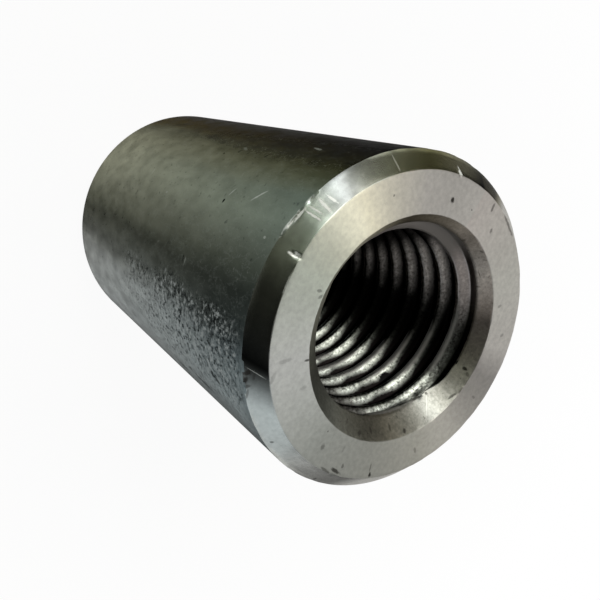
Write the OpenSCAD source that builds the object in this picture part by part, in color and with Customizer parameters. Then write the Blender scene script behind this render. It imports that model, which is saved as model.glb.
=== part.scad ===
// Threaded coupler sleeve for joining two reinforcing bars end to end.
// One piece of round steel bar: cut to length, bored through, bevelled and
// countersunk at both ends, then tapped right through with one right-hand thread.
// It stands on one sawn end, with the bore along +Z and its centre on the origin.
// All sizes are in millimetres.

/* [Sleeve] */
// outside diameter of the round bar
outer_d = 32; // [29:0.5:45]
// length from end face to end face
length = 51; // [12:1:90]
// width of the 45 degree bevel turned on the outer edge of each end
bevel = 1.6; // [0.4:0.1:3]

/* [Thread] */
// diameter at the bottom of the thread grooves
thread_d = 20; // [14:0.5:22]
// distance from one groove to the next along the bore
pitch = 2.5; // [1.5:0.25:3.5]
// depth of the grooves as a share of the pitch
depth_share = 0.43; // [0.3:0.01:0.5]
// turn angle, seen from the top, where the groove runs out of the top face
run_out_angle = 190; // [0:5:355]

/* [Countersinks] */
// how much wider the mouth of the countersink is than the thread
mouth_extra = 1.4; // [0.4:0.1:4]
// full angle of the countersink
countersink_angle = 90; // [60:5:120]

/* [Hidden] */

outer_r = outer_d / 2;
root_r = thread_d / 2;
groove_depth = pitch * depth_share;
bore_r = root_r - groove_depth;
mouth_r = root_r + mouth_extra / 2;

// the groove is a 60 degree vee with a narrow flat bottom
root_flat = pitch / 8;
flank_slope = tan(30);
// the cutter starts a little inside the bore, so it opens the wall cleanly
cutter_r = bore_r - 0.4;
root_half = root_flat / 2;
cutter_half = root_half + (root_r - cutter_r) * flank_slope;

// cuts run this far past an end face
past = 1;

// flat steps in one turn of the groove, and how many steps in its whole run
steps_per_turn = 36;
steps = ceil((length + 2 * pitch) / pitch * steps_per_turn);
groove_bottom_z = length - pitch * (run_out_angle / 360 + ceil(length / pitch) + 1);

// the four corners of the groove's section at one step of its run, from the
// lower corner in the bore round the groove's bottom to the upper corner
function section_corners(step) =
    let (turn = 360 * step / steps_per_turn,
         z = groove_bottom_z + pitch * step / steps_per_turn)
    [for (corner = [[cutter_r, -cutter_half], [root_r, -root_half],
                    [root_r, root_half], [cutter_r, cutter_half]])
        [corner[0] * cos(turn), corner[0] * sin(turn), z + corner[1]]];

// one right-hand groove, wound from below the bottom face to above the top face
module thread_groove() {
    corners = [for (step = [0 : steps]) each section_corners(step)];
    sides = [for (step = [0 : steps - 1]) for (side = [0 : 3])
        let (low = 4 * step + side,
             low_next = 4 * step + (side + 1) % 4)
        each [[low, low_next, low + 4], [low_next, low_next + 4, low + 4]]];
    last = 4 * steps;
    caps = [[3, 2, 1, 0], [last, last + 1, last + 2, last + 3]];
    polyhedron(corners, concat(sides, caps));
}

// section of the bar after turning: outside wall, two bevels, two sawn ends
module turned_blank() {
    rotate_extrude($fn = 128)
        polygon([[0, 0], [outer_r - bevel, 0], [outer_r, bevel],
                 [outer_r, length - bevel], [outer_r - bevel, length], [0, length]]);
}

// the plain bore and its two countersinks
module bored_hole() {
    slope = 1 / tan(countersink_angle / 2);
    sink = (mouth_r - bore_r) * slope;
    wide_r = mouth_r + past / slope;
    rotate_extrude($fn = 128)
        polygon([[0, -past], [wide_r, -past], [bore_r, sink],
                 [bore_r, length - sink], [wide_r, length + past],
                 [0, length + past]]);
}

module sleeve() {
    color([0.36, 0.37, 0.35])
    difference() {
        turned_blank();
        bored_hole();
        thread_groove();
    }
}

sleeve();
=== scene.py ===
import math

import bmesh
import bpy
from mathutils import Euler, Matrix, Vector, noise


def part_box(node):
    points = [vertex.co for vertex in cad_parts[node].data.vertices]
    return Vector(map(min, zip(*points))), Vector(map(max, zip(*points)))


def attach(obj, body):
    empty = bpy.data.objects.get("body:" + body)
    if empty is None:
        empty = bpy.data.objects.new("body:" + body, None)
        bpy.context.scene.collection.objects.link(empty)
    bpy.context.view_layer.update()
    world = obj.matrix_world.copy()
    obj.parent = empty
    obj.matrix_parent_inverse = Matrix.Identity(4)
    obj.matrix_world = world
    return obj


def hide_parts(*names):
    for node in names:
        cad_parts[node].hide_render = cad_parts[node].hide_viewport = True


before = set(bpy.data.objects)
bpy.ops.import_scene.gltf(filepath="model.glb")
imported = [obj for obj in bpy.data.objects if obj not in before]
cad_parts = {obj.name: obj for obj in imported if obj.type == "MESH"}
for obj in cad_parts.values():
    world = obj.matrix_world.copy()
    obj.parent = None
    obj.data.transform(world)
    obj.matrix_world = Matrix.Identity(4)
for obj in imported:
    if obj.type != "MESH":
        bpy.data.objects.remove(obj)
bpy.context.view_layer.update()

# ----------------------------------------------------------------------------
# The sleeve: a short length of round rolled steel bar, drilled from end to end,
# countersunk and tapped with one right-hand thread. Both ends are faced and
# bevelled on a lathe, and the outside keeps the bar's own dark skin.
# ----------------------------------------------------------------------------
mm = 0.001
high_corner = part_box("sleeve")[1]
outer_r = high_corner.x
length = high_corner.z
root_r = 10.0 * mm
pitch = 2.5 * mm
groove_depth = 1.075 * mm
crest_r = root_r - groove_depth
mouth_r = root_r + 0.7 * mm
crest_land = 0.40 * mm             # what the tap's tearing leaves of the land
flank_run = groove_depth * math.tan(math.radians(30))
land_lost = pitch * 7 / 8 - 2 * flank_run - crest_land   # all off its upper side
run_out_turn = 190 / 360           # where the groove leaves the top face
columns = 180                      # vertices in one turn of every ring
corner_round = 0.16 * mm
touching = 0.001 * mm              # points nearer than this are one point

sleeve_mesh = bmesh.new()

# one pitch of the thread's section, drawn as a narrow ribbon so that its
# corners can be rounded, then left as a bare line
turns = math.ceil(length / pitch) + 2
section_z = length - pitch * (run_out_turn + turns - 1.5) - land_lost / 2
section = [
    sleeve_mesh.verts.new((radius, 0, section_z + rise))
    for radius, rise in [
        (crest_r, 0),
        (crest_r, crest_land / 2),
        (root_r, crest_land / 2 + flank_run),
        (root_r, pitch - crest_land / 2 - flank_run),
        (crest_r, pitch - crest_land / 2),
        (crest_r, pitch),
    ]
]
lines = [sleeve_mesh.edges.new(ends) for ends in zip(section, section[1:])]
ribbon = bmesh.ops.extrude_edge_only(sleeve_mesh, edges=lines)["geom"]
far_side = [part for part in ribbon if isinstance(part, bmesh.types.BMVert)]
bmesh.ops.translate(sleeve_mesh, verts=far_side, vec=(0, mm, 0))
corners = [edge for edge in sleeve_mesh.edges if edge.calc_face_angle(0) > 0.3]
bmesh.ops.bevel(
    sleeve_mesh, geom=corners, offset=corner_round, offset_type='OFFSET',
    affect='EDGES', segments=2, profile=0.5, material=-1, clamp_overlap=True)
bmesh.ops.delete(
    sleeve_mesh, geom=[v for v in sleeve_mesh.verts if v.co.y > mm / 2],
    context='VERTS')
flanks = [edge for edge in sleeve_mesh.edges
          if abs(edge.verts[0].co.x - edge.verts[1].co.x) > groove_depth / 2]
bmesh.ops.subdivide_edges(sleeve_mesh, edges=flanks, cuts=1)

# wind one turn, then stack turns until the thread passes both end faces
bmesh.ops.spin(
    sleeve_mesh, geom=sleeve_mesh.verts[:] + sleeve_mesh.edges[:],
    cent=(0, 0, 0), axis=(0, 0, 1), dvec=(0, 0, pitch / columns),
    angle=math.tau, steps=columns)
one_turn = sleeve_mesh.verts[:] + sleeve_mesh.edges[:] + sleeve_mesh.faces[:]
for turn in range(1, turns + 1):
    copy = bmesh.ops.duplicate(sleeve_mesh, geom=one_turn)["geom"]
    bmesh.ops.translate(
        sleeve_mesh, vec=(0, 0, turn * pitch),
        verts=[part for part in copy if isinstance(part, bmesh.types.BMVert)])
bmesh.ops.remove_doubles(
    sleeve_mesh, verts=sleeve_mesh.verts[:], dist=touching)


def at_radius(point, radius):
    """The same point moved straight out from the bore's axis to a radius."""
    share = radius / math.hypot(point.x, point.y)
    return Vector((point.x * share, point.y * share, point.z))


def turn_of(point):
    """A point's turn about the bore's axis, in degrees."""
    return math.degrees(math.atan2(point.y, point.x)) % 360


def share_of(value, whole):
    """How much of a whole a value is, from 0 to 1."""
    return min(1, max(0, value / whole))


def climb(value, low, high):
    """A smooth climb from 0 to 1 between two values."""
    share = share_of(value - low, high - low)
    return share * share * (3 - 2 * share)


def burr_share(turn):
    """How far the burr that the countersink pushed down closes the groove."""
    return climb(turn, 75, 105) * (1 - climb(turn, 241, 260))


def burr_foot(turn):
    """How far down from the top face that burr reaches."""
    return (1.90 + 0.65 * climb(turn, 185, 205) * (1 - climb(turn, 210, 244))) * mm


# cut the burr's torn end finely
torn_from, torn_to = 236, 266      # degrees
torn_down = 3.3 * mm
torn_ends = [edge for edge in sleeve_mesh.edges if all(
    length - torn_down < vert.co.z < length
    and torn_from < turn_of(vert.co) < torn_to
    for vert in edge.verts)]
bmesh.ops.subdivide_edges(sleeve_mesh, edges=torn_ends, cuts=2, use_grid_fill=True)

# open both ends of the thread into 90 degree countersinks, gather what passes
# an end face on the countersink's mouth, and tear the crests a little
soft_lip = 0.10 * mm
mouth_reach = 0.12 * mm
tear = 0.05 * mm
burr_lip = 0.08 * mm               # how far the burr stands in from the crests
for vert in sleeve_mesh.verts:
    depth = min(vert.co.z, length - vert.co.z)
    if depth < mouth_reach:
        vert.co = at_radius(vert.co, mouth_r)
        vert.co.z = 0 if vert.co.z < length / 2 else length
        continue
    radius = math.hypot(vert.co.x, vert.co.y)
    torn = tear * noise.noise(vert.co / mm * 1.3)
    radius += torn * (1 if radius < root_r - groove_depth / 2 else 0.4)
    if length - vert.co.z < burr_foot(turn_of(vert.co)) + 3 * torn:
        closed = min(0, crest_r - burr_lip - radius)
        radius += burr_share(turn_of(vert.co)) * closed
    short = mouth_r - depth - radius
    if short > soft_lip:
        radius = mouth_r - depth
    elif short > -soft_lip:
        radius += (short + soft_lip) ** 2 / (4 * soft_lip)
    vert.co = at_radius(vert.co, radius)
bmesh.ops.remove_doubles(
    sleeve_mesh, verts=sleeve_mesh.verts[:], dist=2 * touching)

# the outside and the two end faces, turned from their outline
bevel = 1.6 * mm
edge_break = 0.09 * mm
outline = [
    sleeve_mesh.verts.new(point)
    for point in [
        (mouth_r, 0, length),
        (outer_r - bevel, 0, length),
        (outer_r, 0, length - bevel),
        (outer_r, 0, bevel),
        (outer_r - bevel, 0, 0),
        (mouth_r, 0, 0),
    ]
]
sides = [sleeve_mesh.edges.new(ends) for ends in zip(outline, outline[1:])]
cut_lines = []
for side, cuts in zip(sides, (9, 3, 60, 3, 9)):
    cut = bmesh.ops.subdivide_edges(sleeve_mesh, edges=[side], cuts=cuts)
    cut_lines += cut["geom_split"] + cut["geom_inner"]
outside = list({part for part in cut_lines + outline + sides if part.is_valid})
bmesh.ops.spin(
    sleeve_mesh, geom=outside, cent=(0, 0, 0), axis=(0, 0, 1),
    angle=math.tau, steps=columns, use_merge=True)
bmesh.ops.remove_doubles(
    sleeve_mesh, verts=sleeve_mesh.verts[:], dist=2 * touching)
bmesh.ops.recalc_face_normals(sleeve_mesh, faces=sleeve_mesh.faces[:])

# break the sharp edges, as a file or a tumbling barrel does
rims = [
    edge for edge in sleeve_mesh.edges
    if edge.calc_face_angle(0) > math.radians(30)
    and min(math.hypot(v.co.x, v.co.y) for v in edge.verts) > mouth_r - 10 * touching
    and abs(edge.verts[0].co.z - edge.verts[1].co.z) < touching
]
bmesh.ops.bevel(
    sleeve_mesh, geom=rims, offset=edge_break, offset_type='OFFSET',
    affect='EDGES', segments=2, profile=0.5, material=-1, clamp_overlap=True)


def place_on(turn, radius, height):
    """A point of the sleeve; turn in degrees, radius and height in mm."""
    return Vector((radius * math.cos(math.radians(turn)),
                   radius * math.sin(math.radians(turn)), height)) * mm


# knocks on the edges of the top end: turn, radius, height, half length along
# the edge, half width across it and depth
top = length / mm
for turn, radius, height, along, across, sunk in [
        (78.5, 15.95, top - 1.62, 1.30, 0.42, 0.16),
        (71.0, 15.90, top - 1.55, 0.60, 0.30, 0.08),
        (86.8, 14.70, top - 0.22, 0.22, 0.62, 0.16),
        (14.5, 14.55, top - 0.10, 0.20, 0.50, 0.14),
        (127.0, 15.95, top - 1.60, 0.90, 0.35, 0.10),
        (179.5, 14.50, top - 0.05, 0.45, 0.30, 0.07),
        (338.0, 14.50, top - 0.05, 0.90, 0.25, 0.06)]:
    middle = place_on(turn, radius, height)
    sideways = Vector((-middle.y, middle.x, 0)).normalized()
    inwards = Vector((-middle.x, -middle.y, -math.hypot(middle.x, middle.y))).normalized()

    def off_middle(point):
        """How far off the knock's middle a point is; 1 is its rim."""
        way = (point - middle) / mm
        beside = way.dot(sideways)
        return math.hypot(beside / along, (way - beside * sideways).length / across)

    near = [edge for edge in sleeve_mesh.edges
            if min(off_middle(vert.co) for vert in edge.verts) < 1.6]
    bmesh.ops.subdivide_edges(sleeve_mesh, edges=near, cuts=2, use_grid_fill=True)
    for vert in sleeve_mesh.verts:
        off = off_middle(vert.co)
        if off < 1:
            vert.co += inwards * (sunk * mm * (1 - off ** 2) ** 1.5)

# uneven edges where the lathe tool and the countersink broke out
rough_reach = 0.25 * mm
rough_height = 0.06 * mm
top_rims = [(mouth_r, length), (outer_r - bevel, length), (outer_r, length - bevel)]
for vert in sleeve_mesh.verts:
    radius = math.hypot(vert.co.x, vert.co.y)
    for rim, height in top_rims:
        off_rim = math.hypot(radius - rim, vert.co.z - height)
        if off_rim < rough_reach:
            rough = noise.noise(vert.co / mm * 0.9) + 0.6 * noise.noise(vert.co / mm * 2.3)
            shift = rough_height * rough * (1 - off_rim / rough_reach)
            vert.co = at_radius(vert.co, min(outer_r, radius + shift))


# the patch that is pitted: where it starts and ends round the bar, in degrees,
# and down it, in millimetres below the top face
pits_from, pits_to = 109, 162
pits_top, pits_foot = 0.8, 37


def pitting(point):
    """How thickly the rolled skin is pitted at a point, from 0 to 1."""
    turn = turn_of(point)
    depth = (length - point.z) / mm
    if point.to_2d().length < outer_r - 0.2 * mm or depth < bevel / mm + 0.2:
        return 0
    ragged = 3 * noise.noise(point / mm * 0.25)
    side = share_of(turn - pits_from + ragged, 6) * share_of(pits_to - turn, 30)
    down = share_of(pits_foot + 2 * ragged - depth, 16) * share_of(depth - pits_top, 3)
    return side * down


# cut the pitted patch finely enough to carry its pits, then sink them
pitted_edges = [edge for edge in sleeve_mesh.edges
                if max(pitting(vert.co) for vert in edge.verts) > 0]
bmesh.ops.subdivide_edges(sleeve_mesh, edges=pitted_edges, cuts=3, use_grid_fill=True)
pit_depth = 0.06 * mm
pit_layer = sleeve_mesh.verts.layers.float.new("pit")
patch_layer = sleeve_mesh.verts.layers.float.new("pitted")
for vert in sleeve_mesh.verts:
    thick = pitting(vert.co)
    if thick > 0:
        spot = Vector((vert.co.x * 1.7, vert.co.y * 1.7, vert.co.z * 2.0)) / mm
        rough = noise.noise(spot) + 0.6 * noise.noise(spot * 1.9)
        vert[patch_layer] = thick
        vert[pit_layer] = thick * min(1, max(-1, rough / 0.55))
        sunk = pit_depth * max(0, vert[pit_layer])
        vert.co = at_radius(vert.co, vert.co.to_2d().length - sunk)

# where each finish lies on the sleeve
ROLLED, TURNED, TAPPED = range(3)
for face in sleeve_mesh.faces:
    middle = face.calc_center_median()
    radius = math.hypot(middle.x, middle.y)
    depth = min(middle.z, length - middle.z)
    on_skin = radius > outer_r - 0.1 * mm and depth > bevel - 0.1 * mm
    on_end = radius > mouth_r or radius < mouth_r - depth + mouth_reach
    burr_end = length - burr_foot(turn_of(middle)) - 0.2 * mm
    on_burr_face = radius < crest_r - 0.05 * mm and middle.z > burr_end
    if on_skin:
        face.material_index = ROLLED
    elif on_end or on_burr_face:
        face.material_index = TURNED
    else:
        face.material_index = TAPPED
    face.smooth = True

sleeve_data = bpy.data.meshes.new("sleeve_body")
sleeve_mesh.to_mesh(sleeve_data)
sleeve_mesh.free()
sleeve = bpy.data.objects.new("sleeve_body", sleeve_data)
bpy.context.scene.collection.objects.link(sleeve)
even_shading = sleeve.modifiers.new("even_shading", 'WEIGHTED_NORMAL')
even_shading.weight = 60


def add(tree, kind, inputs=None, **settings):
    """One node of a finish, with its settings and what goes into it."""
    node = tree.nodes.new(kind)
    for name, value in settings.items():
        setattr(node, name, value)
    for name, value in (inputs or {}).items():
        if isinstance(value, bpy.types.NodeSocket):
            tree.links.new(value, node.inputs[name])
        else:
            node.inputs[name].default_value = value
    return node


def maths(tree, operation, first, second=0.0, third=0.0):
    """One sum on values."""
    return add(tree, 'ShaderNodeMath', {0: first, 1: second, 2: third},
               operation=operation).outputs[0]


def ramp(tree, factor, stops):
    """A colour ramp; stops are (position, grey or colour)."""
    node = add(tree, 'ShaderNodeValToRGB', {0: factor})
    elements = node.color_ramp.elements
    while len(elements) < len(stops):
        elements.new(0.5)
    for element, (position, colour) in zip(elements, stops):
        if isinstance(colour, (int, float)):
            colour = (colour,) * 3
        element.position = position
        element.color = (*colour, 1)
    return node.outputs[0]


def between(tree, value, start, end, low=0.0, high=1.0):
    """Low where a value is at its start, high at its end, and even between."""
    return add(tree, 'ShaderNodeMapRange', {
        0: value, 1: start, 2: end, 3: low, 4: high}).outputs[0]


def blend(tree, factor, first, second, mode='MIX'):
    """Two colours mixed by a factor."""
    return add(tree, 'ShaderNodeMix', {0: factor, 6: first, 7: second},
               data_type='RGBA', blend_type=mode).outputs[2]


def shade(tree, colour, tone):
    """A colour made darker or lighter by a tone."""
    return blend(tree, 1.0, colour, tone, 'MULTIPLY')


def toned(tree, factor, strengths, tints):
    """A colour that changes along a factor in strength and, more slowly, in tint."""
    return shade(tree, ramp(tree, factor, strengths), ramp(tree, factor, tints))


def grain(tree, position, scale, detail=3.0, rough=0.55, stretch=None):
    """Noise on the sleeve, in features per millimetre."""
    if stretch:
        position = add(tree, 'ShaderNodeVectorMath', {0: position, 1: stretch},
                       operation='MULTIPLY').outputs[0]
    return add(tree, 'ShaderNodeTexNoise', {
        'Vector': position, 'Scale': scale, 'Detail': detail,
        'Roughness': rough}).outputs[0]


# where a point lies on the bar: its turn, radius and height, in millimetres
around = bpy.data.node_groups.new("place_on_bar", 'ShaderNodeTree')
for name, way, kind in [
        ("Turn", 'OUTPUT', 'NodeSocketFloat'),
        ("Radius", 'OUTPUT', 'NodeSocketFloat'),
        ("Height", 'OUTPUT', 'NodeSocketFloat'),
        ("Position", 'OUTPUT', 'NodeSocketVector')]:
    around.interface.new_socket(name, in_out=way, socket_type=kind)
spot = add(around, 'ShaderNodeTexCoord').outputs['Object']
spot = add(around, 'ShaderNodeVectorMath', {0: spot, 'Scale': 1000.0},
           operation='SCALE').outputs[0]
apart = add(around, 'ShaderNodeSeparateXYZ', {0: spot})
angle = maths(around, 'ARCTAN2', apart.outputs[1], apart.outputs[0])
turn = maths(around, 'FRACT', maths(around, 'DIVIDE', angle, math.tau))
flat = add(around, 'ShaderNodeVectorMath', {0: spot, 1: (1, 1, 0)},
           operation='MULTIPLY').outputs[0]
far = add(around, 'ShaderNodeVectorMath', {0: flat}, operation='LENGTH')
add(around, 'NodeGroupOutput', {
    'Turn': turn, 'Radius': far.outputs['Value'],
    'Height': apart.outputs[2], 'Position': spot})


# a mark of a size at a place: its middle and length's way, in millimetres
mark = bpy.data.node_groups.new("mark", 'ShaderNodeTree')
for name, way, kind in [
        ("Position", 'INPUT', 'NodeSocketVector'),
        ("Middle", 'INPUT', 'NodeSocketVector'),
        ("Way", 'INPUT', 'NodeSocketVector'),
        ("Long", 'INPUT', 'NodeSocketFloat'),
        ("Wide", 'INPUT', 'NodeSocketFloat'),
        ("Mask", 'OUTPUT', 'NodeSocketFloat')]:
    mark.interface.new_socket(name, in_out=way, socket_type=kind)
given = add(mark, 'NodeGroupInput').outputs
offset = add(mark, 'ShaderNodeVectorMath', {
    0: given['Position'], 1: given['Middle']}, operation='SUBTRACT').outputs[0]
beside = add(mark, 'ShaderNodeVectorMath', {
    0: offset, 1: given['Way']}, operation='DOT_PRODUCT').outputs['Value']
beside_way = add(mark, 'ShaderNodeVectorMath', {
    0: given['Way'], 'Scale': beside}, operation='SCALE').outputs[0]
across = add(mark, 'ShaderNodeVectorMath', {
    0: offset, 1: beside_way}, operation='DISTANCE').outputs['Value']
far_off = add(mark, 'ShaderNodeCombineXYZ', {
    0: maths(mark, 'DIVIDE', beside, given['Long']),
    1: maths(mark, 'DIVIDE', across, given['Wide'])}).outputs[0]
far_off = add(mark, 'ShaderNodeVectorMath', {0: far_off}, operation='LENGTH')
ragged = maths(mark, 'MULTIPLY_ADD', grain(mark, given['Position'], 3.5, 3.0), 1.1,
               maths(mark, 'SUBTRACT', far_off.outputs['Value'], 0.55))
add(mark, 'NodeGroupOutput', {'Mask': between(mark, ragged, 1.0, 0.55)})


def marks(tree, position, rows):
    """The masks of many marks put together. A row is turn, radius, height, slant,
    half length, half width and strength. The slant is off the way a drop would
    run: out on the end face, down the bevel, the countersink or the side."""
    together = 0.0
    for turn, radius, height, slant, long, wide, strength in rows:
        out = Vector((math.cos(math.radians(turn)), math.sin(math.radians(turn)), 0))
        start = out if height > top - 0.01 else Vector((0, 0, 1))
        if top - 1.65 < height < top - 0.01:
            start = (out * (1 if radius > 14 else -1) - Vector((0, 0, 1))).normalized()
        sideways = Vector((-out.y, out.x, 0))
        way = start * math.cos(math.radians(slant)) + sideways * math.sin(math.radians(slant))
        one = add(tree, 'ShaderNodeGroup', {
            'Position': position, 'Way': way, 'Long': long, 'Wide': wide,
            'Middle': out * radius + Vector((0, 0, height))}, node_tree=mark)
        together = maths(tree, 'MAXIMUM', together,
                         maths(tree, 'MULTIPLY', one.outputs['Mask'], strength))
    return together


def finish(name):
    """An empty material with its shader, and where a point lies on the bar."""
    material = bpy.data.materials.new(name)
    material.use_nodes = True
    tree = material.node_tree
    tree.nodes.clear()
    place = add(tree, 'ShaderNodeGroup', node_tree=around)
    shader = add(tree, 'ShaderNodeBsdfPrincipled')
    add(tree, 'ShaderNodeOutputMaterial', {'Surface': shader.outputs[0]})
    return material, tree, place.outputs, shader.inputs


def fill(tree, sockets, values):
    """Give a shader's sockets their values or what feeds them."""
    for name, value in values.items():
        if isinstance(value, bpy.types.NodeSocket):
            tree.links.new(value, sockets[name])
        else:
            sockets[name].default_value = value


dark_scale = (0.014, 0.017, 0.017, 1)
pale_scale = (0.58, 0.62, 0.62, 1)
soot = (0.06, 0.055, 0.05, 1)
oil_and_shade_black = (0.006, 0.005, 0.005, 1)

# where the sleeve's edges lie, in the millimetres that the finishes work in
face_edge = (outer_r - bevel) / mm
mouth = mouth_r / mm
crest = crest_r / mm
root = root_r / mm

# rolled skin: dark scale with a painted reflection, lengthwise bands round the bar that are light
# and dark where the studio's pale and dark walls would reflect, painted lighter towards the foot
rolled_skin, tree, place, shader = finish("rolled_skin")
position = place['Position']
wander = grain(tree, position, 0.25, 3.0, stretch=(1, 1, 0.35))
band_turn = maths(tree, 'ADD', place['Turn'],
                  maths(tree, 'MULTIPLY', maths(tree, 'SUBTRACT', wander, 0.5), 0.022))
# painted reflection: light and dark bands round the bar near the top end
top_painted_reflection = toned(tree, band_turn, [
    (0.00, 0.013), (0.06, 0.008), (0.11, 0.003), (0.15, 0.04), (0.20, 0.20), (0.222, 0.25),
    (0.258, 0.115), (0.29, 0.041), (0.32, 0.075), (0.345, 0.24), (0.392, 0.43), (0.43, 0.23),
    (0.54, 0.06), (0.64, 0.15), (0.74, 0.18), (0.82, 0.07), (0.90, 0.11), (1.00, 0.013)], [
    (0.09, (1.15, 1, 0.75)), (0.15, (1.00, 1, 0.50)), (0.20, (0.80, 1, 0.83)),
    (0.27, (0.86, 1, 0.83)), (0.33, (0.83, 1, 1.05)), (0.43, (0.90, 1, 1.02)),
    (0.54, (1.00, 1, 0.84)), (1.00, (1.10, 1, 0.75))])
foot_painted_reflection = toned(tree, band_turn, [
    (0.00, 0.042), (0.085, 0.027), (0.12, 0.08), (0.135, 0.105), (0.15, 0.21), (0.18, 0.42),
    (0.222, 0.48), (0.258, 0.33), (0.29, 0.155), (0.32, 0.20), (0.333, 0.44), (0.353, 0.60),
    (0.39, 0.70), (0.411, 0.80), (0.433, 0.47), (0.54, 0.115), (0.64, 0.24), (0.74, 0.31),
    (0.82, 0.125), (0.90, 0.18), (1.00, 0.042)], [
    (0.085, (1.15, 1, 0.65)), (0.12, (1.30, 1, 0.25)), (0.15, (1.00, 1, 0.75)),
    (0.28, (0.97, 1, 0.80)), (0.34, (0.97, 1, 0.97)), (0.43, (0.95, 1, 1.00)),
    (0.54, (1.00, 1, 0.83)), (1.00, (1.15, 1, 0.67))])
# painted reflection: the bands are painted lighter towards the foot
foot_share = between(tree, place['Height'], top - 2.0, 3.0)
painted_reflection_bands = blend(tree, foot_share, top_painted_reflection, foot_painted_reflection)
# painted reflection: a paler band round the middle of the bar's length
middle_share = ramp(tree, maths(tree, 'DIVIDE', place['Height'], top), [
    (0.12, 0.0), (0.37, 1.0), (0.69, 1.0), (0.84, 0.0)])
paler = ramp(tree, band_turn, [
    (0.29, 0.0), (0.31, 0.36), (0.33, 0.22), (0.35, 0.20), (0.375, 0.06), (0.40, 0.0)])
painted_reflection_bands = shade(tree, painted_reflection_bands, maths(tree, 'MULTIPLY_ADD', middle_share, paler, 1.0))
mottle = grain(tree, position, 0.7, 6.0, 0.55, stretch=(1, 1, 0.6))
colour = shade(tree, painted_reflection_bands, ramp(tree, mottle, [(0.32, 0.88), (0.68, 1.12)]))

# pits that rolled-in scale leaves: dark in the hollows, pale on their rims
pitted = add(tree, 'ShaderNodeAttribute', attribute_name="pitted").outputs['Fac']
pit = add(tree, 'ShaderNodeAttribute', attribute_name="pit").outputs['Fac']
crinkle = grain(tree, position, 2.9, 4.0, 0.68, stretch=(1, 1, 0.9))
crinkle = maths(tree, 'MULTIPLY', maths(tree, 'SUBTRACT', crinkle, 0.5), pitted)
pit = maths(tree, 'MULTIPLY_ADD', crinkle, 5.6, maths(tree, 'MULTIPLY', pit, 0.55))
patchy = maths(
    tree, 'MULTIPLY', ramp(tree, grain(tree, position, 0.45, 3.0), [(0.38, 0.6), (0.62, 1.0)]),
    ramp(tree, place['Turn'], [(0.335, 1.0), (0.375, 0.88), (0.430, 0.70)]))
sunk = between(tree, pit, 0.08, 0.70, 0.0, 0.94)
proud = between(tree, pit, -0.18, -0.75, 0.0, 0.66)
colour = blend(tree, maths(tree, 'MULTIPLY', sunk, patchy), colour, dark_scale)
colour = blend(tree, maths(tree, 'MULTIPLY', proud, patchy), colour, pale_scale)

# faint wrinkles and flecks all over the skin
wrinkle = grain(tree, position, 1.1, 4.0, 0.6, stretch=(1, 1, 0.6))
fleck = ramp(tree, wrinkle, [(0.485, 0.0), (0.50, 1.0), (0.515, 0.0)])
colour = blend(tree, maths(tree, 'MULTIPLY', fleck, 0.15), colour, (0.42, 0.46, 0.44, 1))
dents = ramp(tree, grain(tree, position, 1.7, 3.0, 0.6), [(0.29, 0.42), (0.37, 0.0)])
colour = blend(tree, dents, colour, dark_scale)
chips = grain(tree, position, 1.5, 3.0, 0.5)
colour = blend(tree, maths(tree, 'MULTIPLY', ramp(tree, chips, [(0.70, 0.0), (0.74, 1.0)]), 0.16),
               colour, (0.50, 0.52, 0.48, 1))

# scrapes down to bare steel, and knocks that went dark
scraped = marks(tree, position, [
    (75.0, 16, top - 8.2, -49, 1.05, 0.13, 0.60),
    (76.5, 16, top - 12.6, -70, 0.55, 0.10, 0.45),
    (48.5, 16, top - 8.9, 8, 0.90, 0.20, 0.35),
    (57.0, 16, top - 18.6, 20, 0.70, 0.20, 0.22),
    (86.5, 16, top - 3.4, 10, 0.22, 0.14, 0.40),
    (104.0, 16, top - 14.6, 90, 0.50, 0.14, 0.22),
    (79.0, 16, top - 31.8, 80, 0.40, 0.14, 0.28),
    (85.0, 16, top - 25.0, 15, 0.30, 0.16, 0.25),
    (79.5, 15.97, top - 1.62, 90, 1.30, 0.26, 0.95),
    (71.0, 15.95, top - 1.60, 90, 0.60, 0.20, 0.60)])
darkened = marks(tree, position, [
    (80.5, 16, top - 12.9, 80, 0.28, 0.20, 0.95),
    (103.5, 16, top - 15.1, 75, 0.45, 0.14, 0.65),
    (62.0, 16, top - 21.0, 15, 0.30, 0.14, 0.45),
    (147.5, 16, top - 12.6, 5, 2.30, 0.26, 0.70),
    (146.0, 16, top - 15.4, -8, 0.90, 0.20, 0.50),
    (150.0, 16, top - 18.3, 3, 1.90, 0.28, 0.60),
    (137.0, 16, top - 7.8, 14, 1.30, 0.30, 0.65),
    (144.0, 16, top - 32.0, 5, 0.80, 0.22, 0.35)])
colour = blend(tree, darkened, colour, (0.010, 0.011, 0.011, 1))
colour = blend(tree, scraped, colour, (0.62, 0.66, 0.62, 1))
fine = grain(tree, position, 5.0, 3.0)
relief = maths(tree, 'ADD',
               maths(tree, 'MULTIPLY', pit, -0.025),
               maths(tree, 'ADD', maths(tree, 'MULTIPLY', fine, 0.004),
                     maths(tree, 'ADD', maths(tree, 'MULTIPLY', wrinkle, 0.02),
                           maths(tree, 'MULTIPLY', mottle, 0.012))))
bump = add(tree, 'ShaderNodeBump', {
    'Strength': 1.0, 'Distance': 0.001, 'Height': relief})
fill(tree, shader, {
    'Base Color': colour, 'Metallic': 0.92, 'Normal': bump.outputs[0],
    'Specular Tint': (0.18, 0.18, 0.18, 1), 'Specular IOR Level': 0.15,
    'Roughness': ramp(tree, mottle, [(0.35, 0.38), (0.65, 0.5)])})

# turned steel: the lathe's rings stretch every reflection across them
turned_steel, tree, place, shader = finish("turned_steel")
position = place['Position']
rings = add(tree, 'ShaderNodeCombineXYZ', {
    0: maths(tree, 'ADD', place['Radius'],
             maths(tree, 'MULTIPLY', place['Height'], 0.37))}).outputs[0]
tool_marks = grain(tree, rings, 7.0, 2.0, 0.6)
cloud = grain(tree, position, 0.22, 4.0)
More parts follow.
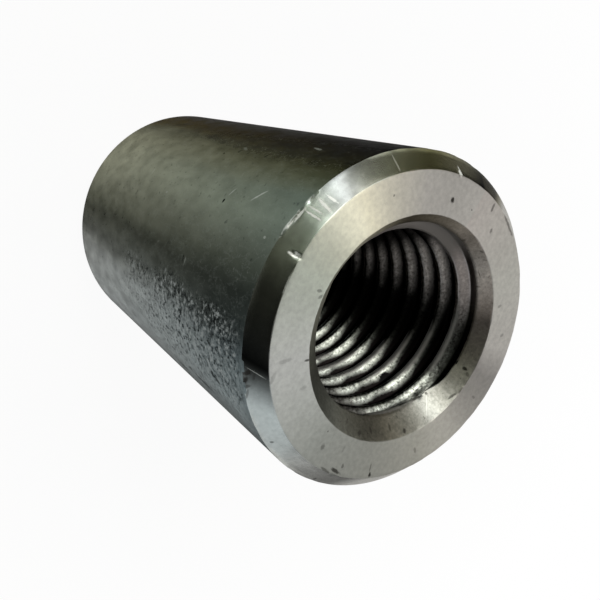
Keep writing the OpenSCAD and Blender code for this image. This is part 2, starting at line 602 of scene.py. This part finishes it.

# painted reflection: the face, the bevel and the countersink each get lighter and darker round
# the sleeve where the studio's window and dark walls would reflect in them
face_painted_reflection = toned(tree, place['Turn'], [
    (0.00, 1.10), (0.085, 0.97), (0.17, 1.21), (0.21, 1.24), (0.25, 1.67), (0.30, 1.64),
    (0.335, 1.40), (0.42, 0.98), (0.46, 0.80), (0.60, 0.78), (0.69, 0.67), (0.75, 0.79),
    (0.79, 1.41), (0.83, 1.34), (0.92, 1.06), (1.00, 1.10)], [
    (0.08, (1.02, 1, 1.00)), (0.16, (1.03, 1, 0.84)), (0.25, (0.92, 1, 0.93)),
    (0.34, (0.97, 1, 1.03)), (0.45, (0.95, 1, 0.99)), (0.62, (1.00, 1, 0.95)),
    (0.75, (1.03, 1, 1.02)), (0.88, (1.00, 1, 0.98)), (1.00, (1.05, 1, 1.00))])
# the bevel's painted reflection leans round the sleeve as it crosses the bevel
off_mid_bevel = maths(tree, 'SUBTRACT', place['Radius'], face_edge + 0.8)
bevel_turn = maths(tree, 'MULTIPLY_ADD', off_mid_bevel, 0.0075, place['Turn'])
bevel_painted_reflection = toned(tree, bevel_turn, [
    (0.00, 0.01), (0.028, 0.54), (0.05, 0.77), (0.075, 0.53), (0.095, 0.77), (0.12, 1.24),
    (0.15, 0.87), (0.162, 0.40), (0.185, 0.52), (0.205, 1.13), (0.225, 1.03), (0.25, 0.73),
    (0.275, 0.23), (0.30, 0.12), (0.342, 0.01), (0.358, 0.32), (0.385, 1.26), (0.43, 1.20),
    (0.458, 1.75), (0.472, 1.18), (0.50, 0.70), (0.517, 0.59), (0.545, 1.75), (0.958, 1.75),
    (0.975, 0.13)], [
    (0.03, (1.02, 1, 0.77)), (0.075, (1.02, 1, 0.55)), (0.12, (0.95, 1, 0.80)),
    (0.17, (0.93, 1, 1.04)), (0.21, (0.84, 1, 0.93)), (0.29, (0.93, 1, 0.88)),
    (0.36, (0.92, 1, 1.03)), (0.55, (1.00, 1, 1.00)), (0.96, (1.00, 1, 1.00)),
    (0.975, (1.08, 1, 0.70))])
cone_painted_reflection = toned(tree, place['Turn'], [
    (0.00, 0.77), (0.03, 0.51), (0.065, 0.32), (0.10, 0.15), (0.14, 0.40), (0.20, 0.60),
    (0.30, 0.50), (0.34, 0.27), (0.38, 0.16), (0.42, 0.21), (0.46, 0.39), (0.56, 0.42),
    (0.59, 0.60), (0.63, 0.60), (0.65, 0.73), (0.70, 0.58), (0.74, 1.02), (0.765, 0.93),
    (0.825, 0.41), (0.845, 0.66), (0.90, 0.80), (0.94, 0.50), (0.955, 0.63), (0.972, 0.54),
    (1.00, 0.77)], [
    (0.00, (1.10, 1, 0.90)), (0.10, (1.12, 1, 0.78)), (0.20, (1.00, 1, 0.85)),
    (0.45, (0.96, 1, 0.92)), (0.57, (1.04, 1, 0.84)), (0.65, (0.96, 1, 0.97)),
    (0.74, (0.99, 1, 0.93)), (0.83, (1.13, 1, 0.93)), (0.92, (1.09, 1, 0.95)),
    (1.00, (1.10, 1, 0.90))])
on_bevel = between(tree, place['Radius'], face_edge - 0.02, face_edge + 0.06)
on_cone = between(tree, place['Radius'], mouth - 0.08, mouth, 1.0, 0.0)
# the tone is each surface's painted reflection, laid over the steel's colour
tone = blend(tree, on_cone, blend(tree, on_bevel, face_painted_reflection, bevel_painted_reflection), cone_painted_reflection)
colour = blend(tree, cloud, (0.50, 0.49, 0.46, 1), (0.60, 0.59, 0.56, 1))
colour = shade(tree, colour, tone)

# dust on all of it, and a torn cut and soot in the countersink
dust = grain(tree, position, 2.2, 4.0, 0.65)
colour = shade(tree, colour, ramp(tree, dust, [(0.34, 0.90), (0.66, 1.08)]))
torn_cone = ramp(tree, grain(tree, position, 3.2, 4.0, 0.72), [(0.34, 0.74), (0.66, 1.16)])
colour = blend(tree, on_cone, colour, shade(tree, colour, torn_cone))
cone_flecks = ramp(tree, grain(tree, position, 3.6, 2.0, 0.5), [(0.27, 0.55), (0.33, 0.0)])
colour = blend(tree, maths(tree, 'MULTIPLY', cone_flecks, on_cone), colour, soot)
specks = grain(tree, position, 1.4, 2.0, 0.5)
speck_mask = ramp(tree, specks, [(0.18, 1.0), (0.21, 0.0)])
colour = blend(tree, maths(tree, 'MULTIPLY', speck_mask, 0.7), colour, soot)

# stains and cracks in the turned steel, then nicks and scratches down to bright metal, which are
# partly painted glints: near white and barely metallic along edges and streaks where light would
# catch
stains = marks(tree, position, [
    (14.5, 12.2, top, 20, 0.34, 0.24, 0.95),
    (93.5, 11.3, top, 8, 0.40, 0.16, 0.50),
    (95.5, 10.95, top, 60, 0.30, 0.16, 0.45),
    (124.0, 10.85, top, 0, 0.35, 0.12, 0.80),
    (122.0, 13.0, top, 5, 0.80, 0.22, 0.22),
    (127.0, 14.1, top, 60, 0.60, 0.25, 0.22),
    (136.0, 11.5, top, 0, 0.40, 0.20, 0.20),
    (167.0, 12.7, top, 30, 0.38, 0.26, 0.45),
    (178.0, 12.0, top, 4, 0.45, 0.16, 0.20),
    (180.0, 14.05, top, 78, 0.75, 0.22, 0.85),
    (175.0, 14.30, top, 80, 0.80, 0.16, 0.55),
    (182.0, 13.4, top, 20, 0.30, 0.18, 0.50),
    (197.6, 14.05, top, 3, 0.32, 0.20, 0.95),
    (197.0, 13.3, top, 3, 0.55, 0.10, 0.45),
    (221.0, 12.8, top, 10, 0.40, 0.20, 0.40),
    (259.0, 12.9, top, 0, 0.30, 0.16, 0.35),
    (290.0, 12.8, top, 30, 0.32, 0.20, 0.35),
    (305.0, 11.6, top, 10, 0.35, 0.18, 0.35),
    (345.0, 12.3, top, 20, 0.30, 0.22, 0.55),
    (352.0, 13.8, top, 15, 0.50, 0.18, 0.60),
    (340.0, 14.3, top, 85, 1.60, 0.20, 0.55),
    (251.3, 10.44, top - 0.26, 104, 0.70, 0.15, 0.65),
    (268.0, 10.09, top - 0.62, 15, 0.34, 0.22, 0.90),
    (266.0, 10.45, top - 0.25, 30, 0.30, 0.18, 0.45),
    (216.1, 10.37, top - 0.33, 20, 0.30, 0.22, 0.80),
    (207.8, 9.85, top - 0.85, 8, 0.50, 0.14, 0.55),
    (246.0, 8.87, top - 1.86, 88, 0.90, 0.10, 0.85),
    (251.5, 8.88, top - 1.84, 90, 0.90, 0.13, 0.95),
    (241.5, 9.05, top - 1.65, 10, 0.28, 0.16, 0.80),
    (238.0, 9.00, top - 1.70, 70, 0.25, 0.10, 0.70),
    (194.0, 9.9, top - 0.80, 0, 0.45, 0.18, 0.45),
    (185.0, 10.2, top - 0.50, 30, 0.40, 0.20, 0.40),
    (176.0, 9.7, top - 1.00, 20, 0.40, 0.14, 0.40),
    (326.0, 9.9, top - 0.80, 86, 0.55, 0.05, 0.75),
    (318.0, 9.7, top - 1.00, 20, 0.30, 0.12, 0.45),
    (344.0, 9.6, top - 1.10, 10, 0.40, 0.16, 0.55),
    (352.0, 9.9, top - 0.80, 20, 0.35, 0.18, 0.50),
    (340.0, 10.5, top - 0.20, 60, 0.35, 0.10, 0.50),
    (334.0, 10.5, top - 0.20, 40, 0.30, 0.12, 0.50),
    (152.0, 15.5, top - 1.10, 0, 0.25, 0.16, 0.70),
    (178.0, 15.7, top - 1.30, 20, 0.30, 0.20, 0.60),
    (125.5, 15.75, top - 1.30, 25, 0.55, 0.28, 0.85),
    (128.0, 15.85, top - 1.45, 60, 0.50, 0.22, 0.80),
    (130.0, 15.80, top - 1.40, 20, 0.40, 0.18, 0.60),
    (126.5, 15.30, top - 0.90, 70, 0.45, 0.15, 0.40),
    (132.5, 15.85, top - 1.45, 70, 0.60, 0.14, 0.50)])
colour = blend(tree, stains, colour, (0.035, 0.032, 0.028, 1))
# partly painted highlight: real nicks and scratches painted near white as glints
bright_nicks_and_glints = marks(tree, position, [
    (86.7, 14.68, top - 0.22, 0, 0.40, 0.26, 1.0),
    (87.2, 14.98, top - 0.55, 0, 0.42, 0.17, 1.0),
    (14.0, 14.62, top - 0.20, 0, 0.46, 0.26, 1.0),
    (14.2, 15.00, top - 0.55, 8, 0.40, 0.12, 0.8),
    (236.5, 9.70, top - 1.00, 42, 1.70, 0.05, 0.32),
    (125.2, 15.20, top - 0.80, -30, 1.10, 0.06, 0.35),
    (74.2, 15.2, top - 0.80, 6, 0.95, 0.12, 0.8),
    (72.4, 15.3, top - 0.90, 10, 0.80, 0.10, 0.6),
    (69.5, 15.2, top - 0.80, -6, 0.95, 0.20, 0.6),
    (66.5, 15.1, top - 0.70, 8, 0.70, 0.12, 0.5),
    (41.0, 15.2, top - 0.80, -6, 1.25, 0.10, 0.35),
    (76.2, 15.80, top - 1.45, 90, 0.95, 0.16, 0.9),
    (79.5, 15.92, top - 1.57, 90, 1.60, 0.14, 0.9),
    (96.0, 14.45, top - 0.04, 90, 1.20, 0.08, 0.4),
    (50.0, 14.42, top - 0.02, 90, 2.60, 0.06, 0.4),
    (70.0, 14.42, top - 0.02, 90, 2.20, 0.06, 0.5)])
colour = blend(tree, bright_nicks_and_glints, colour, (0.90, 0.92, 0.88, 1))

# the burr below the countersink is duller than the cut steel, and its colour round the bore is
# painted light and shade, brightest where it faces the window
on_burr = between(tree, place['Radius'], crest - 0.035, crest - 0.065)
# painted light and shade: the burr lighter and darker round the bore
burr_painted_light = ramp(tree, place['Turn'], [
    (0.000, (0.17, 0.15, 0.14)), (0.120, (0.12, 0.11, 0.09)), (0.300, (0.05, 0.05, 0.04)),
    (0.520, (0.08, 0.08, 0.07)), (0.640, (0.40, 0.39, 0.36)), (0.720, (0.30, 0.30, 0.27)),
    (0.920, (0.20, 0.18, 0.17))])
colour = blend(tree, on_burr, colour, shade(tree, burr_painted_light, torn_cone))

relief = maths(tree, 'MULTIPLY', tool_marks, 0.002)
bump = add(tree, 'ShaderNodeBump', {
    'Strength': 1.0, 'Distance': 0.001, 'Height': relief})
lathe_way = add(tree, 'ShaderNodeTangent', direction_type='RADIAL', axis='Z')
roughness = blend(tree, on_bevel, ramp(tree, cloud, [(0.3, 0.37), (0.7, 0.42)]),
                  (0.25, 0.25, 0.25, 1))
metal = maths(tree, 'SUBTRACT', 1.0, maths(tree, 'MULTIPLY', bright_nicks_and_glints, 0.8))
metal = maths(tree, 'MULTIPLY_ADD', maths(tree, 'MULTIPLY', on_burr, metal), -0.6, metal)
fill(tree, shader, {
    'Base Color': colour, 'Metallic': metal,
    'Specular Tint': (0.45, 0.45, 0.45, 1),
    'Anisotropic': 0.9, 'Anisotropic Rotation': 0.25,
    'Tangent': lathe_way.outputs[0], 'Normal': bump.outputs[0],
    'Roughness': roughness})

# tapped thread: torn bright steel, with black in the bottom of the groove that is partly oil and
# partly painted shade
tapped_thread, tree, place, shader = finish("tapped_thread")
position = place['Position']
tears = grain(tree, position, 3.2, 5.0, 0.70, stretch=(1, 1, 1.3))
ragged = maths(tree, 'ADD', place['Radius'],
               maths(tree, 'MULTIPLY', maths(tree, 'SUBTRACT', tears, 0.5), 0.7))

# how far the groove's black of oil and painted shade stands up it round the bore, least under the
# countersink
oil_and_shade_depth = ramp(tree, place['Turn'], [
    (0.00, 0.35), (0.52, 0.42), (0.56, 0.40), (0.578, 0.30), (0.60, 0.34), (0.615, 0.58),
    (0.635, 0.50), (0.655, 0.28), (0.69, 0.30), (0.71, 0.55), (0.80, 0.50), (0.84, 0.25),
    (0.95, 0.20)])
ragged = maths(tree, 'ADD', ragged, maths(tree, 'SUBTRACT', oil_and_shade_depth, 0.35))
# painted shadow: near the top the black stands lower, but less so round the side where a shadow
# falls under the burr
near_top = between(tree, place['Height'], top - 4.0, top - 3.0, 0.0, -0.45)
ragged = maths(tree, 'MULTIPLY_ADD', near_top, ramp(tree, place['Turn'], [
    (0.000, 1.0), (0.540, 0.3), (0.640, 0.3), (0.675, 1.0)]), ragged)
groove_oil_and_shade = between(tree, ragged, root - 0.70, root - 0.20)

# the first ridge, which the countersink cut and screwed-in bars have rubbed
below = maths(tree, 'SUBTRACT', top, place['Height'])
first_ridge = between(tree, below, 4.2, 3.4)
worn = maths(tree, 'MULTIPLY', first_ridge, ramp(tree, place['Turn'], [
    (0.000, 1.0), (0.170, 1.0), (0.220, 0.0), (0.925, 0.0), (0.965, 1.0)]))
groove_oil_and_shade = maths(tree, 'MULTIPLY', groove_oil_and_shade, maths(tree, 'SUBTRACT', 1.0, worn))

# the ridges: torn, rubbed smooth in part, and painted lighter and darker round the bore as the
# light would fall on them, darker deeper in the bore
flank = ramp(tree, tears, [
    (0.36, (0.09, 0.088, 0.084)), (0.46, (0.36, 0.356, 0.348)),
    (0.55, (0.62, 0.617, 0.605)), (0.64, (0.98, 0.98, 0.96))])
calm = maths(tree, 'MULTIPLY', first_ridge, ramp(tree, place['Turn'], [
    (0.000, 0.80), (0.120, 0.80), (0.200, 0.0), (0.800, 0.0), (0.860, 0.50), (0.940, 0.70)]))
rubbed = ramp(tree, place['Turn'], [
    (0.000, 0.35), (0.200, 0.35), (0.500, 0.0), (0.800, 0.0), (0.860, 0.35)])
flank = blend(tree, rubbed, flank, (0.42, 0.415, 0.41, 1))
flank = blend(tree, calm, flank, (0.43, 0.40, 0.40, 1))
oil_tint = ramp(tree, place['Turn'], [
    (0.000, (1.0, 0.92, 0.88)), (0.500, (1.0, 0.94, 0.90)), (0.580, (0.98, 1.05, 0.97)),
    (0.760, (0.98, 1.05, 0.97)), (0.840, (1.0, 0.94, 0.90)), (1.000, (1.0, 0.92, 0.88))])
flank = shade(tree, flank, oil_tint)
on_crest = between(tree, place['Radius'], root - 0.70, root - 0.92)
flank = blend(tree, maths(tree, 'MULTIPLY', on_crest, maths(tree, 'SUBTRACT', 1.0, calm)),
              flank, shade(tree, flank, (0.62, 0.62, 0.62, 1)))
drift = grain(tree, position, 0.5, 3.0, 0.6)
painted_light_turn = maths(tree, 'ADD', place['Turn'],
                   maths(tree, 'MULTIPLY', maths(tree, 'SUBTRACT', drift, 0.5), 0.05))
# painted light and shade round the bore: bright where the window would light the ridges, dark
# where it would not
painted_light_round_bore = ramp(tree, painted_light_turn, [
    (0.000, 0.70), (0.120, 0.40), (0.220, 0.15), (0.470, 0.15), (0.500, 0.32),
    (0.548, 0.35), (0.568, 1.00), (0.595, 1.20), (0.612, 0.55), (0.635, 0.50),
    (0.655, 0.80), (0.685, 0.80), (0.705, 0.50), (0.728, 0.30), (0.760, 0.22),
    (0.800, 0.24), (0.830, 0.55), (0.870, 0.95), (0.940, 0.85), (1.000, 0.70)])
# painted shade: the ridges darker deeper in the bore
deeper_shade = between(tree, place['Height'], top - 3.0, top - 9.0)
painted_light_round_bore = blend(tree, deeper_shade, painted_light_round_bore, ramp(tree, painted_light_turn, [
    (0.000, 0.60), (0.120, 0.30), (0.220, 0.12), (0.470, 0.12), (0.500, 0.30),
    (0.548, 0.35), (0.568, 1.05), (0.595, 1.20), (0.612, 0.55), (0.635, 0.58),
    (0.655, 0.80), (0.685, 0.75), (0.705, 0.30), (0.725, 0.05), (0.750, 0.02),
    (0.820, 0.02), (0.845, 0.30), (0.880, 0.85), (0.940, 0.80), (1.000, 0.60)]))
flank = shade(tree, flank, painted_light_round_bore)
# the shadow of the near side falls further round the deeper a ridge lies
fall = maths(tree, 'MINIMUM', maths(tree, 'MULTIPLY_ADD', below, 0.0065, -0.026), 0.08)
shaded = ramp(tree, maths(tree, 'ADD', place['Turn'], fall), [
    (0.000, 0.05), (0.120, 0.03), (0.300, 0.05), (0.450, 1.0), (0.950, 1.0), (0.985, 0.07)])
flank = blend(tree, maths(tree, 'SUBTRACT', 1.0, first_ridge), flank,
              shade(tree, flank, shaded))
# the groove's black: partly oil, partly painted shade
colour = blend(tree, groove_oil_and_shade, flank, oil_and_shade_black)

chipped = marks(tree, position, [
    (238.5, 9.68, top - 8.00, 90, 1.00, 0.58, 1.0),
    (250.0, 9.00, top - 4.10, 80, 0.24, 0.18, 0.8),
    (313.0, 9.05, top - 3.00, 0, 0.50, 0.06, 0.7),
    (308.0, 8.95, top - 3.15, 30, 0.20, 0.12, 0.5)])
# past the bright ridges only the crests still catch some light
dim_turn = maths(tree, 'MULTIPLY_ADD', below, 0.0147,
                 maths(tree, 'SUBTRACT', place['Turn'], 0.05))
dim = ramp(tree, dim_turn, [(0.690, 0.0), (0.730, 1.0), (0.805, 1.0), (0.840, 0.0)])
dim = maths(tree, 'MULTIPLY', dim, on_crest)
colour = blend(tree, dim, colour, (0.19, 0.19, 0.18, 1))
colour = blend(tree, worn, colour, (0.275, 0.252, 0.235, 1))
colour = blend(tree, chipped, colour, (0.004, 0.004, 0.004, 1))
tear_height = maths(tree, 'MULTIPLY_ADD', calm, -0.024, 0.030)
bump = add(tree, 'ShaderNodeBump', {
    'Strength': 1.0, 'Distance': 0.001,
    'Height': maths(tree, 'MULTIPLY', tears, tear_height)})
dull = maths(tree, 'MAXIMUM', dim, worn)
fill(tree, shader, {
    'Base Color': colour,
    'Metallic': maths(tree, 'MULTIPLY_ADD', dull, -0.7, 1.0),
    'Roughness': 0.28,
    'Specular Tint': (0.25, 0.25, 0.25, 1),
    'Normal': bump.outputs[0]})

for material in (rolled_skin, turned_steel, tapped_thread):
    sleeve_data.materials.append(material)
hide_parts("sleeve")
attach(sleeve, "root")

# ----------------------------------------------------------------------------
# The floor the sleeve stands on: a round sheet of white paper.
# ----------------------------------------------------------------------------
floor_mesh = bmesh.new()
bmesh.ops.create_circle(floor_mesh, cap_ends=True, segments=96, radius=0.32)
floor_data = bpy.data.meshes.new("floor")
floor_mesh.to_mesh(floor_data)
floor_mesh.free()
floor = bpy.data.objects.new("floor", floor_data)
bpy.context.scene.collection.objects.link(floor)
paper = bpy.data.materials.new("white_paper")
paper.use_nodes = True
paper.cycles.emission_sampling = 'NONE'
tree = paper.node_tree
tree.nodes.clear()
path = add(tree, 'ShaderNodeLightPath').outputs
out_from_middle = add(tree, 'ShaderNodeVectorMath', {
    0: add(tree, 'ShaderNodeTexCoord').outputs['Object']},
    operation='LENGTH').outputs['Value']
fade = between(tree, out_from_middle, 0.04, 0.14, 0.94, 1.0)
mirrored = maths(tree, 'MAXIMUM', path['Is Glossy Ray'], path['Is Transmission Ray'])
glow_share = maths(tree, 'ADD', maths(tree, 'MULTIPLY', path['Is Camera Ray'], fade),
                   maths(tree, 'MULTIPLY', mirrored, 0.4))
lit = add(tree, 'ShaderNodeBsdfDiffuse', {'Color': (0.86, 0.86, 0.86, 1)})
glow = add(tree, 'ShaderNodeEmission', {'Color': (1, 1, 1, 1), 'Strength': 1.0})
mixed = add(tree, 'ShaderNodeMixShader', {
    0: glow_share, 1: lit.outputs[0], 2: glow.outputs[0]})
add(tree, 'ShaderNodeOutputMaterial', {'Surface': mixed.outputs[0]})
floor_data.materials.append(paper)

# ----------------------------------------------------------------------------
# The studio: pale and dark walls round about, and one tall window.
# ----------------------------------------------------------------------------
world = bpy.data.worlds.new("studio")
bpy.context.scene.world = world
world.use_nodes = True
tree = world.node_tree
tree.nodes.clear()
way = add(tree, 'ShaderNodeSeparateXYZ', {
    0: add(tree, 'ShaderNodeTexCoord').outputs['Generated']}).outputs
round_turn = maths(tree, 'FRACT', maths(
    tree, 'DIVIDE', maths(tree, 'ARCTAN2', way[1], way[0]), math.tau))
low_walls = ramp(tree, round_turn, [
    (0.000, (0.055, 0.055, 0.040)),
    (0.055, (0.060, 0.060, 0.042)),
    (0.076, (0.8, 0.8, 0.75)),
    (0.088, (4.5, 4.5, 4.4)),
    (0.105, (4.0, 4.0, 4.0)),
    (0.118, (0.8, 0.8, 0.75)),
    (0.150, (0.40, 0.40, 0.34)),
    (0.165, (0.10, 0.10, 0.07)),
    (0.250, (0.10, 0.10, 0.07)),
    (0.280, (0.10, 0.10, 0.08)),
    (0.420, (0.22, 0.23, 0.23)),
    (0.450, (0.60, 0.64, 0.66)),
    (0.550, (0.60, 0.64, 0.66)),
    (0.580, (0.25, 0.25, 0.25)),
    (0.680, (0.30, 0.30, 0.30)),
    (0.720, (0.75, 0.75, 0.73)),
    (0.850, (0.75, 0.74, 0.72)),
    (0.870, (0.015, 0.015, 0.012)),
    (0.930, (0.015, 0.015, 0.012)),
    (0.950, (0.055, 0.055, 0.040)),
])
high_walls = ramp(tree, round_turn, [
    (0.000, (1.6, 1.6, 1.5)),
    (0.030, (2.2, 2.1, 2.0)),
    (0.060, (4.2, 4.1, 3.8)),
    (0.110, (4.0, 3.9, 3.6)),
    (0.130, (1.2, 1.2, 1.1)),
    (0.150, (0.35, 0.35, 0.30)),
    (0.235, (0.30, 0.30, 0.26)),
    (0.250, (0.07, 0.07, 0.06)),
    (0.400, (0.06, 0.06, 0.055)),
    (0.415, (0.36, 0.36, 0.36)),
    (0.540, (0.36, 0.36, 0.35)),
    (0.680, (0.75, 0.75, 0.73)),
    (0.860, (0.75, 0.74, 0.72)),
    (0.885, (0.35, 0.35, 0.33)),
    (0.905, (1.8, 1.75, 1.7)),
    (0.935, (1.8, 1.75, 1.7)),
    (0.955, (0.35, 0.35, 0.33)),
    (0.980, (0.4, 0.4, 0.38)),
])
rise = between(tree, way[2], math.sin(math.radians(32)), math.sin(math.radians(42)))
room = blend(tree, rise, low_walls, high_walls)
overhead = between(tree, way[2], math.sin(math.radians(66)), math.sin(math.radians(75)))
room = blend(tree, overhead, room, (0.01, 0.01, 0.01, 1))
seen = add(tree, 'ShaderNodeLightPath').outputs['Is Camera Ray']
room = blend(tree, seen, room, (1, 1, 1, 1))
background = add(tree, 'ShaderNodeBackground', {'Color': room, 'Strength': 1.0})
add(tree, 'ShaderNodeOutputWorld', {'Surface': background.outputs[0]})
# a broad soft lamp high on the window's side
soft_lamp = bpy.data.lights.new("soft_lamp", 'AREA')
soft_lamp.shape = 'RECTANGLE'
soft_lamp.size = 0.34
soft_lamp.size_y = 0.14
soft_lamp.energy = 0.3
lamp_stand = bpy.data.objects.new("soft_lamp", soft_lamp)
bpy.context.scene.collection.objects.link(lamp_stand)
lamp_turn, lamp_rise = math.radians(14), math.radians(58)
lamp_way = Vector((math.cos(lamp_turn) * math.cos(lamp_rise),
                   math.sin(lamp_turn) * math.cos(lamp_rise), math.sin(lamp_rise)))
lamp_stand.location = Vector((0, 0, length)) + 0.5 * lamp_way
lamp_stand.rotation_euler = lamp_way.to_track_quat('Z', 'Y').to_euler()

# ----------------------------------------------------------------------------
# The camera looks down at the top end from close by.
# ----------------------------------------------------------------------------
camera_data = bpy.data.cameras.new("camera")
camera_data.lens = 38.57
camera_data.clip_start = 0.005
camera = bpy.data.objects.new("camera", camera_data)
camera.location = (-0.002049, 0.042619, 0.090825)
camera.rotation_euler = Euler([math.radians(a) for a in (-19.582, -32.106, -56.205)])
bpy.context.scene.collection.objects.link(camera)
bpy.context.scene.camera = camera
bpy.context.scene.view_settings.view_transform = 'Standard'
